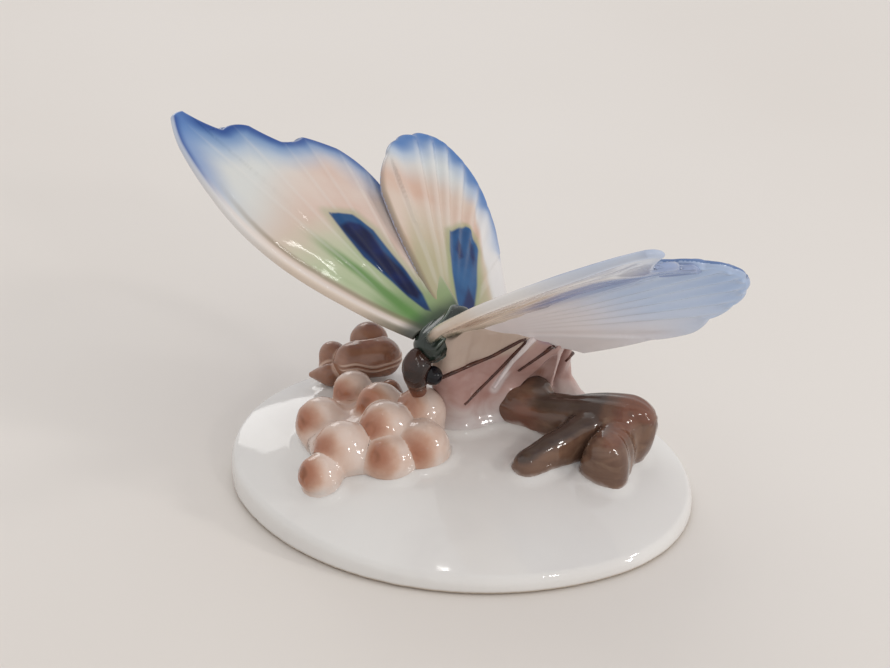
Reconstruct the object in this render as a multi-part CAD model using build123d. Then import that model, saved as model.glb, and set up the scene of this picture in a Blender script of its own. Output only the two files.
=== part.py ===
from build123d import *
import cmath
import math
import os

os.makedirs("parts", exist_ok=True)

# A porcelain butterfly drinking at a cluster of round buds on a white oval mound.
# The origin is the middle of the foot plane, X runs along the mound and Z is up.

# Mound
mound_length = 95.0
mound_width = 76.0
mound_end_radius = 31.0
mound_height = 13.0
rim_height = 5.4
rim_rounding = 2.0
foot_rounding = 0.8
foot_ring_width = 4.0
foot_recess = 1.2
vent_bore = 3.0
vent_depth = 6.0
mound_lean = 2.2
overrun = 4.0

# Bud cluster
bud_radius = 4.5
bed_length = 23.0
bed_width = 15.0
bed_rise = 3.4
bed_turn = 28.0

# Brown seed pods behind the buds
pod_radius = 4.2

# Fallen branch
limb_radius = 4.6
branch_length = 30.0
cut_end_radius = 2.0
cut_end_depth = 0.6
sawn_turn = 27.0
sawn_raise = 13.0
twig_radius = 2.9
stump_ribs = 9
groove_share = 0.13

# Body
body_rise = 21.4
body_forward = 3.8
body_aside = 1.5
body_turn = 27.0
body_pitch = 3.0
body_roll = 5.0
thorax_radius = 3.6
thorax_length = 9.0
abdomen_length = 13.0
abdomen_radius = 2.9
head_radius = 3.3
eye_radius = 1.6
proboscis_radius = 1.9
leg_radius = 0.75
leg_stand_out = 0.2

# Wings
forewing_length = 73.5
forewing_chord = 40.0
forewing_camber = 1.8
hindwing_length = 62.0
hindwing_chord = 31.0
hindwing_camber = 1.2
hindwing_fold_width = 5.0
hindwing_fold_turn = 32.0
wing_thickness = 1.7
vein_width = 1.3
vein_relief = 0.25
root_spread = 2.5
forewing_root_back = -1.5
forewing_root_rise = 1.0
hindwing_root_back = 4.0
hindwing_root_rise = -1.0

# Clay wall and strut that carry the left wings
wall_turn = 45.0
wall_length = 26.0
wall_thickness = 9.0
strut_width = 5.0
strut_thickness = 3.2

half_length = mound_length / 2
half_width = mound_width / 2

# Angles of each wing in the body frame: sweep back, raise and twist, in degrees
wing_angles = {
    "forewing_right": (-7.4, 28.7, -0.3),
    "forewing_left": (-7.5, 31.9, -8.0),
    "hindwing_right": (39.6, 18.3, -37.7),
    "hindwing_left": (14.1, 22.3, -42.0),
}


def unit(vector):
    return vector / vector.length


def turned(first, second, angle):
    """First axis turned towards the second one."""
    bend = math.radians(angle)
    return first * math.cos(bend) + second * math.sin(bend)


def arc_radius(half_span, rise):
    """Radius of the arc that climbs by rise over half_span."""
    return (half_span**2 + rise**2) / (2 * rise)


def taper(start, end, start_radius, end_radius):
    """Round-ended peg: two balls joined by the cone that touches both."""
    length = (end - start).length
    lean = math.asin((start_radius - end_radius) / length)
    low = (start_radius * math.cos(lean), start_radius * math.sin(lean))
    high = (end_radius * math.cos(lean), length + end_radius * math.sin(lean))
    low_mid = (lean - math.pi / 2) / 2
    high_mid = (lean + math.pi / 2) / 2
    low_arc = ThreePointArc(
        (0, -start_radius),
        (start_radius * math.cos(low_mid), start_radius * math.sin(low_mid)),
        low,
    )
    high_arc = ThreePointArc(
        high,
        (end_radius * math.cos(high_mid), length + end_radius * math.sin(high_mid)),
        (0, length + end_radius),
    )
    axis_line = Line((0, length + end_radius), (0, -start_radius))
    profile = Plane.XZ * make_face(low_arc + Line(low, high) + high_arc + axis_line)
    return Plane(origin=start, z_dir=end - start) * revolve(profile, Axis.Z)


def chain(points, radii):
    """Tapered pegs joined end to end, each starting a little inside the last ball."""
    solid = taper(points[0], points[1], radii[0], radii[1])
    for i in range(1, len(points) - 1):
        start_radius = radii[i] * 0.96
        solid = solid + taper(points[i], points[i + 1], start_radius, radii[i + 1])
    return solid


def largest(shape):
    return max(shape.solids(), key=lambda solid: solid.volume)


def cut(shape, tools):
    """What is left of a piece once its neighbours have taken their room."""
    for tool in tools:
        shape = largest(shape - tool)
    return shape


# The mound is a doubly bowed slab trimmed to an oval of four tangent arcs.
def oval(half_x, half_y, end_radius):
    reach = half_x - end_radius
    offset = (reach**2 - (half_y - end_radius) ** 2) / (2 * (half_y - end_radius))
    side_radius = offset + half_y
    share = side_radius / (side_radius - end_radius)
    x = reach * share
    y = offset * share - offset
    right = ThreePointArc((x, -y), (half_x, 0), (x, y))
    back = ThreePointArc((x, y), (0, half_y), (-x, y))
    left = ThreePointArc((-x, y), (-half_x, 0), (-x, -y))
    front = ThreePointArc((-x, -y), (0, -half_y), (x, -y))
    return make_face(right + back + left + front)


rim_drop = mound_height - rim_height
bow_x = arc_radius(half_length, rim_drop)
bow_y = arc_radius(half_width, rim_drop)


def mound_top(x, y):
    """Height of the mound's bowed top over a place on the foot plane."""
    sag = math.sqrt(bow_y**2 - y**2) - bow_y
    level = math.sqrt((bow_x + sag) ** 2 - x**2) - bow_x
    tilt = math.tan(math.radians(mound_lean))
    return mound_height + level + (y - x) * tilt


def bowed_slab():
    side = half_width * 5 / 4
    low = math.sqrt(bow_y**2 - side**2) - bow_y
    floor = -mound_height - rim_height
    arc = ThreePointArc((-side, low), (0, 0), (side, low))
    box = Polyline((side, low), (side, floor), (-side, floor), (-side, low))
    swing = math.degrees(math.asin(half_length * 6 / 5 / bow_x))
    axis = Axis((0, 0, -bow_x), (0, 1, 0))
    slab = revolve(Plane.YZ * make_face(arc + box), axis, 2 * swing)
    return slab.rotate(axis, -swing)


crown = Location((0, 0, mound_height), (mound_lean, mound_lean, 0))
mound_block = extrude(oval(half_length, half_width, mound_end_radius), mound_height * 2)
mound_bow = crown * bowed_slab()
mound_core = mound_bow & mound_block
side_edges = [edge for edge in mound_core.edges() if edge.length > mound_end_radius / 2]
rim_edges = [edge for edge in side_edges if edge.bounding_box().max.Z > foot_recess / 2]
mound_core = fillet(rim_edges, rim_rounding)
foot_edges = mound_core.edges().group_by(Axis.Z)[0]
mound_core = fillet(foot_edges, foot_rounding)
recess_oval = oval(
    half_length - foot_ring_width,
    half_width - foot_ring_width,
    mound_end_radius - foot_ring_width,
)
recess = extrude(recess_oval, foot_recess)
vent = Pos(0, 0, vent_depth / 2) * Cylinder(vent_bore / 2, vent_depth)
mound = mound_core - recess - vent


def on_mound(x_share, y_share, rise):
    """Point over the mound, at a rise above its bowed top."""
    x = x_share * half_length
    y = y_share * half_width
    return Vector(x, y, mound_top(x, y) + rise)


# Buds: centre as shares of the mound's half sizes, then rise and size in bud radii
bud_shares = {
    "bud_1": (-0.514, 0.108, 1.00, 0.80),
    "bud_2": (-0.341, -0.060, 1.05, 0.92),
    "bud_3": (-0.577, -0.195, 0.85, 0.88),
    "bud_4": (-0.398, -0.421, 0.80, 1.02),
    "bud_5": (-0.263, -0.234, 1.00, 1.00),
    "bud_6": (-0.164, -0.032, 0.95, 1.00),
    "bud_7": (-0.080, -0.258, 0.55, 0.98),
    "bud_8": (-0.192, -0.392, 0.40, 0.84),
    "bud_9": (-0.448, -0.605, 0.60, 0.80),
}
bud_balls = {}
for name, (x_share, y_share, rise_share, size_share) in bud_shares.items():
    centre = on_mound(x_share, y_share, rise_share * bud_radius)
    bud_balls[name] = (centre, size_share * bud_radius)


def meeting_cut(ball, other):
    """Block on the far side of the flat face where two pressed balls meet."""
    (centre, radius), (far_centre, far_radius) = ball, other
    apart = (far_centre - centre).length
    level = (apart**2 + radius**2 - far_radius**2) / (2 * apart)
    plane = Plane(origin=centre, z_dir=far_centre - centre)
    reach = 2 * radius
    block = Box(2 * reach, 2 * reach, reach, align=(Align.CENTER, Align.CENTER, Align.MIN))
    return plane * Pos(0, 0, level) * block


def pressed(name):
    # The half turn puts the ball's seam on the outer side, clear of its neighbours.
    centre, radius = bud_balls[name]
    bud = Pos(*centre) * Rot(0, 0, 180) * Sphere(radius)
    for other, ball in bud_balls.items():
        if other != name and (ball[0] - centre).length < radius + ball[1]:
            bud = bud - meeting_cut(bud_balls[name], ball)
    return bud


# The bed is a low white cushion that lifts the upper buds off the mound.
bed_centre = on_mound(-0.345, -0.14, 0)


def bed_section(level, share):
    slot = SlotOverall(bed_length * share, bed_width * share)
    place = Pos(bed_centre.X, bed_centre.Y, bed_centre.Z + level)
    return place * Rot(0, 0, bed_turn) * slot


bud_bed = loft([bed_section(-bed_rise, 1), bed_section(bed_rise, 0.72)], ruled=True)
bud_bed = bud_bed - mound_bow

buds = {}
for name in bud_shares:
    buds[name] = cut(pressed(name), [mound_bow, bud_bed])


# Pods: shares as for the buds, for the top end and the foot end of each peg
pod_shares = {
    "pod_top": ((-0.564, 0.524, 2.45, 0.98), (-0.560, 0.560, 0.30, 0.90)),
    "pod_middle": ((-0.590, 0.370, 1.35, 1.00), (-0.475, 0.430, 1.45, 1.00)),
    "pod_side": ((-0.714, 0.445, 1.45, 0.72), (-0.720, 0.420, 0.10, 0.62)),
    "pod_tip": ((-0.690, 0.330, 0.75, 0.60), (-0.790, 0.350, 0.70, 0.16)),
    "pod_small": ((-0.350, 0.142, 0.95, 0.48), (-0.345, 0.190, 0.10, 0.52)),
}
pods = {}
taken = list(buds.values()) + [bud_bed]
for name, ends in pod_shares.items():
    points = [on_mound(x, y, rise * pod_radius) for x, y, rise, size in ends]
    radii = [size * pod_radius for x, y, rise, size in ends]
    pod = taper(points[0], points[1], radii[0], radii[1])
    pods[name] = cut(pod, taken + [mound_bow])
    taken.append(pods[name])


# Branch: points run from the shoulder by the wall to the sawn end
def branch_point(along, across, rise):
    x = branch_start.X + along * branch_length
    y = branch_start.Y + across * branch_length
    return Vector(x, y, mound_top(x, y) + rise * limb_radius)


branch_start = on_mound(0.13, 0.24, 0)
limb_shares = [
    (0.02, 0.04, 0.55, 0.72),
    (0.42, 0.00, 0.62, 0.90),
    (0.88, 0.04, 0.90, 1.05),
]
limb_points = [branch_point(x, y, rise) for x, y, rise, size in limb_shares]
limb_radii = [size * limb_radius for x, y, rise, size in limb_shares]
knob = taper(
    branch_point(0.20, 0.09, 1.20),
    branch_point(0.26, 0.02, 0.50),
    limb_radius * 0.72,
    limb_radius * 0.80,
)
sawn_centre = limb_points[-1]
sawn_axis = turned(turned(Vector(0, -1, 0), Vector(1, 0, 0), sawn_turn), Vector(0, 0, 1), sawn_raise)
limb = chain(limb_points, limb_radii)
sawn_face = sawn_centre + sawn_axis * (limb_radius * 0.86)
sawn_plane = Plane(origin=sawn_face, z_dir=sawn_axis)
sawn_block = Box(
    limb_radius * 3, limb_radius * 3, limb_radius, align=(Align.CENTER, Align.CENTER, Align.MIN)
)
dimple = sawn_plane * Cylinder(cut_end_radius, cut_end_depth * 2)
limb = limb - sawn_plane * sawn_block - dimple

twig_shares = [
    (0.66, 0.00, 0.60, 1.20),
    (0.44, -0.40, 0.45, 1.00),
    (0.33, -0.54, 0.25, 0.90),
]
twig_points = [branch_point(x, y, rise) for x, y, rise, size in twig_shares]
twig_radii = [size * twig_radius for x, y, rise, size in twig_shares]
twig = chain(twig_points, twig_radii)


def lobed(radius):
    """Ring of outward arcs, like bark with grooves between its ribs."""
    half_turn = math.pi / stump_ribs
    low = radius * (1 - groove_share)
    arcs = []
    for rib in range(stump_ribs):
        middle = 2 * half_turn * rib
        first, last = middle - half_turn, middle + half_turn
        start = (low * math.cos(first), low * math.sin(first))
        peak = (radius * math.cos(middle), radius * math.sin(middle))
        arcs.append(ThreePointArc(start, peak, (low * math.cos(last), low * math.sin(last))))
    return make_face(arcs)


# The grooved stump stands out of the limb's sawn end and flares at its foot.
stump_start = branch_point(0.83, 0.02, 0.60)
stump_end = branch_point(0.80, -0.42, 0.25)
stump_plane = Plane(origin=stump_start, z_dir=stump_end - stump_start)
stump_length = (stump_end - stump_start).length
stump_rings = []
for share, size in ((0, 1.00), (0.55, 1.08), (1, 1.40)):
    ring = Pos(0, 0, share * stump_length) * lobed(twig_radius * size)
    stump_rings.append(stump_plane * ring)
stump = loft(stump_rings, ruled=True)

limb = cut(limb, [mound_bow])
knob = cut(knob, [mound_bow, limb])
twig = cut(twig, [mound_bow, limb])
stump = cut(stump, [limb, mound_bow, twig])

# Body frame: side points to the left wing, tail backwards, back upwards
body_centre = Vector(-body_forward, body_aside, mound_height + body_rise)
heading = turned(Vector(0, 1, 0), Vector(1, 0, 0), body_turn)
level_side = turned(Vector(1, 0, 0), Vector(0, -1, 0), body_turn)
tail = turned(heading, Vector(0, 0, 1), body_pitch)
side = turned(level_side, level_side.cross(tail), body_roll)
back = side.cross(tail)


def on_body(lateral, along, dorsal):
    return body_centre + side * lateral + tail * along + back * dorsal


thorax = taper(
    on_body(0, -thorax_length * 0.45, -thorax_radius * 0.45),
    on_body(0, thorax_length * 0.45, 0),
    thorax_radius * 0.94,
    thorax_radius,
)
head_centre = on_body(0, -thorax_length * 0.9, -thorax_radius * 1.4)
head = Pos(*head_centre) * Sphere(head_radius) - thorax


def eye(lateral):
    centre = head_centre + side * lateral * head_radius * 0.80
    centre = centre + tail * head_radius * 0.48 - back * head_radius * 0.42
    return Pos(*centre) * Sphere(eye_radius)


eye_left = eye(1)
eye_right = eye(-1)
head = cut(head, [eye_left, eye_right])
eye_left = cut(eye_left, [thorax])
eye_right = cut(eye_right, [thorax])

proboscis_root = head_centre - side * head_radius * 0.3 - back * head_radius * 0.3
drink_centre, drink_radius = bud_balls["bud_6"]
proboscis_tip = drink_centre + Vector(-drink_radius * 0.3, drink_radius * 0.5, drink_radius * 0.5)
proboscis = taper(
    proboscis_root, proboscis_tip, proboscis_radius * 1.2, proboscis_radius * 0.7
)
proboscis = cut(proboscis, taken + [head, thorax, eye_left, eye_right])

# Abdomen with its ring joints, tapering to the tail
ring_shares = [
    (0.00, 0.84),
    (0.12, 1.00),
    (0.24, 0.92),
    (0.36, 1.00),
    (0.48, 0.86),
    (0.60, 0.90),
    (0.72, 0.70),
    (0.84, 0.70),
    (1.00, 0.30),
]
abdomen_start = on_body(0, thorax_length * 0.5, -thorax_radius * 0.1)
abdomen_run = unit(tail - back * 0.3 - side * 0.07)
abdomen_line = [(share * abdomen_length, size * abdomen_radius) for share, size in ring_shares]
abdomen_points = [(0, 0)] + [(size, level) for level, size in abdomen_line]
abdomen_points = abdomen_points + [(0, abdomen_length), (0, 0)]
abdomen = revolve(Plane.XZ * make_face(Polyline(*abdomen_points)), Axis.Z)
abdomen = Plane(origin=abdomen_start, z_dir=abdomen_run) * abdomen
abdomen = cut(abdomen, [thorax])


# Wings: outline points are shares of span and chord, then the bulge of the edge to the next
forewing_outline_share = [
    (0.000, -0.125, 0.040),
    (0.388, -0.318, 0.045),
    (0.700, -0.265, 0.020),
    (0.886, -0.152, 0.030),
    (0.988, -0.033, 0.120),
    (0.990, 0.055, -0.050),
    (0.875, 0.135, 0.140),
    (0.848, 0.305, -0.030),
    (0.752, 0.372, -0.120),
    (0.746, 0.528, 0.040),
    (0.665, 0.672, 0.060),
    (0.569, 0.697, 0.050),
    (0.460, 0.650, 0.020),
    (0.190, 0.425, 0.020),
    (0.000, 0.250, 0.000),
]
hindwing_outline_share = [
    (0.000, -0.060, 0.030),
    (0.558, -0.400, 0.050),
    (0.775, -0.325, 0.090),
    (0.880, -0.230, 0.120),
    (0.945, -0.090, 0.140),
    (0.990, 0.060, 0.140),
    (0.990, 0.200, 0.120),
    (0.942, 0.345, 0.100),
    (0.856, 0.475, 0.090),
    (0.744, 0.550, 0.080),
    (0.635, 0.624, 0.020),
    (0.505, 0.605, 0.010),
    (0.240, 0.590, 0.030),
    (0.084, 0.262, 0.000),
    (0.000, 0.100, 0.000),
]
# Veins: chord share at the root, span and chord share at the margin
forewing_vein_share = [
    (-0.060, 0.930, -0.010),
    (-0.045, 0.868, 0.210),
    (-0.030, 0.750, 0.372),
    (-0.010, 0.742, 0.530),
    (0.010, 0.665, 0.665),
    (0.030, 0.565, 0.690),
    (0.050, 0.460, 0.640),
]
hindwing_vein_share = [
    (-0.020, 0.770, -0.320),
    (-0.010, 0.940, -0.095),
    (0.000, 0.988, 0.060),
    (0.010, 0.985, 0.200),
    (0.020, 0.935, 0.345),
    (0.030, 0.850, 0.472),
    (0.040, 0.740, 0.548),
    (0.060, 0.505, 0.600),
]


def bulged_face(points, hand):
    """Closed outline whose edges bow outwards by a share of their length."""
    edges = []
    for i, (x, y, bulge) in enumerate(points):
        next_x, next_y, next_bulge = points[(i + 1) % len(points)]
        run_x, run_y = next_x - x, next_y - y
        mid = ((x + next_x) / 2 + run_y * bulge, (y + next_y) / 2 - run_x * bulge)
        if bulge:
            arc = ThreePointArc((x, y * hand), (mid[0], mid[1] * hand), (next_x, next_y * hand))
        else:
            arc = Line((x, y * hand), (next_x, next_y * hand))
        edges.append(arc)
    return make_face(edges)


def ribbon(start, heading_angle, steps, above, below):
    """Section along arcs, each given as length and turn, between two offsets."""
    rails = ([], [])
    place = complex(*start)
    heading_now = math.radians(heading_angle)
    for length, turn in steps:
        bend = math.radians(turn)
        first = cmath.exp(1j * heading_now)
        marks = []
        for share in (0, 1 / 2, 1):
            way = cmath.exp(1j * (heading_now + bend * share))
            marks.append((place + length / bend * (way - first) / 1j, way))
        for rail, offset in zip(rails, (above, -below)):
            line = [spot + 1j * way * offset for spot, way in marks]
            rail.append([(point.real, point.imag) for point in line])
        place = marks[-1][0]
        heading_now = heading_now + bend
    upper = [ThreePointArc(*line) for line in rails[0]]
    lower = [ThreePointArc(*line) for line in rails[1]]
    ends = [Line(rails[0][0][0], rails[1][0][0]), Line(rails[0][-1][2], rails[1][-1][2])]
    return make_face(upper + lower + ends)


def wing_slab(kind, above, below, hand):
    length, chord, outline_share, vein_share, steps, start, first_turn = wing_forms[kind]
    section = ribbon(start, first_turn, steps, above, below)
    if hand < 0:
        section = mirror(section, Plane.YZ)
    span_plane = Plane(origin=(0, 0, 0), x_dir=(0, 1, 0), z_dir=(1, 0, 0))
    return span_plane * Pos(0, 0, -overrun) * extrude(section, length + 2 * overrun)


def wing(kind, hand):
    """Scalloped blade cut from a bowed slab, with veins standing out on both faces."""
    length, chord, outline_share, vein_share, steps, start, first_turn = wing_forms[kind]
    outline = [(x * length, y * chord, bulge) for x, y, bulge in outline_share]
    depth = chord * 2
    blank = Pos(0, 0, -depth / 2) * extrude(bulged_face(outline, hand), depth)
    half = wing_thickness / 2
    shape = blank & wing_slab(kind, half, half, hand)
    half = half + vein_relief
    relief = wing_slab(kind, half, half, hand)
    fan = None
    for root_share, x_share, y_share in vein_share:
        root = Vector(0, root_share * chord * hand, 0)
        tip = Vector(x_share * length, y_share * chord * hand, 0)
        run = unit(tip - root)
        across = Vector(-run.Y, run.X, 0) * (vein_width / 2)
        corners = [root + across, root - across, tip - across * 0.4, tip + across * 0.4]
        strip = make_face(Polyline(*[(p.X, p.Y) for p in corners], close=True))
        strip = Pos(0, 0, -depth / 2) * extrude(strip, depth)
        fan = strip if fan is None else fan + strip
    return shape + (relief & fan & blank)


def wing_place(name, root_back, root_rise):
    """Plane of a wing: span from the root outwards, back upwards."""
    hand = 1 if name.endswith("left") else -1
    sweep, rise, twist = wing_angles[name]
    span = turned(turned(side * hand, tail, sweep), back, rise)
    chord_way = unit(back.cross(span)) * hand
    lift = span.cross(chord_way) * hand
    chord_way = turned(chord_way, lift, twist)
    normal = span.cross(chord_way) * hand
    root = on_body(root_spread * hand, root_back, root_rise)
    return Plane(origin=root, x_dir=span, z_dir=normal)


forewing_turn = -8 * math.degrees(forewing_camber / forewing_chord)
forewing_width = forewing_chord * 1.4
forewing_steps = [(forewing_width, forewing_turn * 1.4)]
forewing_start = (-forewing_width * 0.45, -forewing_camber * 1.8)
hindwing_turn = -8 * math.degrees(hindwing_camber / hindwing_chord)
hindwing_width = hindwing_chord * 1.2
hindwing_steps = [
    (hindwing_width * 0.87, hindwing_turn),
    (hindwing_fold_width, -hindwing_fold_turn),
]
hindwing_start = (-hindwing_width * 0.45, -hindwing_camber)
wing_forms = {
    "forewing": (
        forewing_length,
        forewing_chord,
        forewing_outline_share,
        forewing_vein_share,
        forewing_steps,
        forewing_start,
        -forewing_turn * 0.63,
    ),
    "hindwing": (
        hindwing_length,
        hindwing_chord,
        hindwing_outline_share,
        hindwing_vein_share,
        hindwing_steps,
        hindwing_start,
        -hindwing_turn * 0.5,
    ),
}
root_places = {
    "forewing": (forewing_root_back, forewing_root_rise),
    "hindwing": (hindwing_root_back, hindwing_root_rise),
}

wings = {}
wing_shadows = []
for name in wing_angles:
    kind, word = name.split("_")
    hand = 1 if word == "left" else -1
    plane = wing_place(name, *root_places[kind])
    wings[name] = plane * wing(kind, hand)
    if hand > 0:
        shadow = wing_slab(kind, body_rise, wing_thickness / 2 + vein_relief, hand)
        wing_shadows.append(plane * shadow)

body_parts = [thorax, abdomen, head, eye_left, eye_right]
for name in wings:
    tools = list(body_parts)
    if name.startswith("hind"):
        tools.append(wings[name.replace("hind", "fore")])
    wings[name] = cut(wings[name], tools)

# Wall: level, middle, length and thickness of each slot section, as shares.
# Levels run from the mound's rim to the middle of the body.
wall_share = [
    (0.00, 0.56, 1.16, 1.50),
    (0.36, 0.50, 1.00, 1.10),
    (0.57, 0.48, 0.98, 0.90),
    (0.99, 0.52, 1.10, 0.45),
]
wall_start = on_body(root_spread, forewing_root_back * 1.7, 0)
wall_run = turned(Vector(1, 0, 0), Vector(0, 1, 0), wall_turn)
wall_face = turned(Vector(0, -1, 0), Vector(1, 0, 0), wall_turn)
wall_middle = wall_start - wall_face * (wall_thickness * 0.45)


def wall_point(run_share, level_share, out):
    """Point of the wall, out from its middle plane."""
    flat = wall_middle + wall_run * (run_share * wall_length) + wall_face * out
    return Vector(flat.X, flat.Y, rim_height + level_share * (body_centre.Z - rim_height))


def flank(level_share):
    """Half thickness of the wall at a level."""
    for low, high in zip(wall_share, wall_share[1:]):
        if level_share <= high[0]:
            part = (level_share - low[0]) / (high[0] - low[0])
            share = low[3] + (high[3] - low[3]) * part
            break
    return share * wall_thickness / 2


def slot_section(run_share, level_share, length, thickness):
    place = wall_point(run_share, level_share, 0)
    return Pos(*place) * Rot(0, 0, wall_turn) * SlotOverall(length, thickness)


wall_sections = [
    slot_section(middle, level, long * wall_length, thick * wall_thickness)
    for level, middle, long, thick in wall_share
]
wall = loft(wall_sections, ruled=True)
strut_share = [
    (0.05, 1.30, 1.90, 2.40),
    (0.24, 1.18, 1.25, 1.30),
    (0.52, 1.07, 0.80, 1.00),
    (0.99, 1.16, 0.80, 0.90),
]
strut_sections = [
    slot_section(middle, level, long * strut_width, thick * strut_thickness)
    for level, middle, long, thick in strut_share
]
strut = loft(strut_sections, ruled=True)
right_wings = [wings[name] for name in wings if name.endswith("right")]
fixed = wing_shadows + right_wings + body_parts + [proboscis]
fixed = fixed + taken + [limb, knob, mound_bow]
wall = cut(wall, fixed)
strut = cut(strut, fixed + [wall])

# Legs lie on the wall as raised lines: hip, knee and foot as shares of its length and height
leg_share = {
    "leg_front_left": [(-0.05, 0.687), (0.40, 0.752), (0.68, 0.810), (0.40, 0.623), (0.17, 0.459)],
    "leg_middle_left": [(0.96, 0.687), (0.80, 0.652), (0.63, 0.576)],
    "leg_hind_left": [(1.06, 0.623), (0.93, 0.564), (0.86, 0.470)],
    "leg_front_right": [(0.06, 0.634), (0.20, 0.517), (0.14, 0.341)],
    "leg_middle_right": [(0.26, 0.623), (0.44, 0.517), (0.38, 0.377)],
    "leg_hind_right": [(0.50, 0.588), (0.70, 0.482), (0.62, 0.341)],
}
web_share = [(0.73, 0.822), (0.57, 0.693), (0.41, 0.527)]
legs = {}
for name, points in leg_share.items():
    hand = 1 if name.endswith("left") else -1
    line = [wall_point(x, level, hand * (flank(level) + leg_stand_out)) for x, level in points]
    radii = [leg_radius * (1 - 0.3 * i / len(line)) for i in range(len(line))]
    legs[name] = cut(chain(line, radii), fixed + [wall, strut] + list(legs.values()))
web_line = [wall_point(x, level, flank(level) + leg_stand_out) for x, level in web_share]
web = chain(web_line, [leg_radius * 1.5, leg_radius * 1.3, leg_radius * 0.9])
web = cut(web, fixed + [wall, strut] + list(legs.values()))

pieces = {
    "mound": mound,
    "bud_bed": bud_bed,
    "branch_limb": limb,
    "branch_knob": knob,
    "branch_twig": twig,
    "branch_stump": stump,
    "thorax": thorax,
    "abdomen": abdomen,
    "head": head,
    "eye_left": eye_left,
    "eye_right": eye_right,
    "proboscis": proboscis,
    "leg_wall": wall,
    "leg_web": web,
    "wing_strut": strut,
}
pieces.update(buds)
pieces.update(pods)
pieces.update(legs)
pieces.update(wings)
for name, shape in pieces.items():
    export_step(shape, "parts/" + name + ".step")
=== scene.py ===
import math
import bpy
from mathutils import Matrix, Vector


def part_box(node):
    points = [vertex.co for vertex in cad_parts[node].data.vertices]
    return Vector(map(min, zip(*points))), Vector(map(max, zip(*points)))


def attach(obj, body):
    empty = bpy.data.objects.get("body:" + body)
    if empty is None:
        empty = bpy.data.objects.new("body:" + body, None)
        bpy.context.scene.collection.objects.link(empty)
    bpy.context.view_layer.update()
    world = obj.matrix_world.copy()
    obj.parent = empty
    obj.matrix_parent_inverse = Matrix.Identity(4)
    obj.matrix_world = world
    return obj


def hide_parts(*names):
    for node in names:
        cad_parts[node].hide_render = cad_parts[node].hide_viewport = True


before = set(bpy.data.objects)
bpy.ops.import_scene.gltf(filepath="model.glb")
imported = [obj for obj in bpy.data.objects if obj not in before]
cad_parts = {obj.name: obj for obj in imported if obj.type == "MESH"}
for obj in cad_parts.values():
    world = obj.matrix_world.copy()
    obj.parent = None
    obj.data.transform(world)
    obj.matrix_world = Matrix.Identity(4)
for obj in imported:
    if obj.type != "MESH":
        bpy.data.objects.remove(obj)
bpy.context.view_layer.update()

from types import SimpleNamespace

import bmesh
import bpy
import numpy as np
from mathutils import Vector
from mathutils.bvhtree import BVHTree

MM = 0.001

# Gaps that are joined, in metres, and the fewest points of an island that is kept
WELD_GAP, WING_GAP, THREAD_GAP, SHORT_EDGE = 0.01 * MM, 0.000004, 0.000005, 0.000002
CRUMB_POINTS = 200
# The glaze: its index, its bump's depth in metres, and its rise round a piece in millimetres
GLAZE_IOR, BUMP_DEPTH = 1.5, 0.4 * MM
GLAZE_REACH, GLAZE_RISE = 2.6, 0.8
WOBBLE_WAVES, WOBBLE_HEIGHT = 7, 2.6
FINISHES = {}

# ---- places shared with the part
MOUND_HALF_LENGTH, MOUND_HALF_WIDTH = 47.5, 38.0
MOUND_HEIGHT, RIM_HEIGHT, MOUND_LEAN = 13.0, 5.4, 2.2

BODY_CENTRE = np.array([-3.8, 1.5, 34.4])
BODY_SIDE = np.array([0.8855, -0.4563, 0.0870])
BODY_TAIL = np.array([0.4534, 0.8898, 0.0523])
BODY_BACK = np.array([-0.1013, -0.0069, 0.9948])

# Sweep, raise and twist in degrees, then the root's place along and above the body
WING_ANGLES = {
    "forewing_right": (-7.4, 28.7, -0.3, -1.5, 1.0),
    "forewing_left": (-7.5, 31.9, -8.0, -1.5, 1.0),
    "hindwing_right": (39.6, 18.3, -37.7, 4.0, -1.0),
    "hindwing_left": (14.1, 22.3, -42.0, 4.0, -1.0),
}

# Outline: share of length, share of chord, and how far the edge to the next point bows out
FOREWING_OUTLINE = [
    (0.000, -0.125, 0.040), (0.388, -0.318, 0.045), (0.700, -0.265, 0.020),
    (0.886, -0.152, 0.030), (0.988, -0.033, 0.120), (0.990, 0.055, -0.050),
    (0.875, 0.135, 0.140), (0.848, 0.305, -0.030), (0.752, 0.372, -0.120),
    (0.746, 0.528, 0.040), (0.665, 0.672, 0.060), (0.569, 0.697, 0.050),
    (0.460, 0.650, 0.020), (0.190, 0.425, 0.020), (0.000, 0.250, 0.000),
]
HINDWING_OUTLINE = [
    (0.000, -0.060, 0.030), (0.558, -0.400, 0.050), (0.775, -0.325, 0.090),
    (0.880, -0.230, 0.120), (0.945, -0.090, 0.140), (0.990, 0.060, 0.140),
    (0.990, 0.200, 0.120), (0.942, 0.345, 0.100), (0.856, 0.475, 0.090),
    (0.744, 0.550, 0.080), (0.635, 0.624, 0.020), (0.505, 0.605, 0.010),
    (0.240, 0.590, 0.030), (0.084, 0.262, 0.000), (0.000, 0.100, 0.000),
]
# Veins: chord share at the root, span and chord share at the margin
FOREWING_VEINS = [
    (-0.060, 0.930, -0.010), (-0.045, 0.868, 0.210), (-0.030, 0.750, 0.372),
    (-0.010, 0.742, 0.530), (0.010, 0.665, 0.665), (0.030, 0.565, 0.690),
    (0.050, 0.460, 0.640),
]
HINDWING_VEINS = [
    (-0.020, 0.770, -0.320), (-0.010, 0.940, -0.095), (0.000, 0.988, 0.060),
    (0.010, 0.985, 0.200), (0.020, 0.935, 0.345), (0.030, 0.850, 0.472),
    (0.040, 0.740, 0.548), (0.060, 0.505, 0.600),
]
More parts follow.
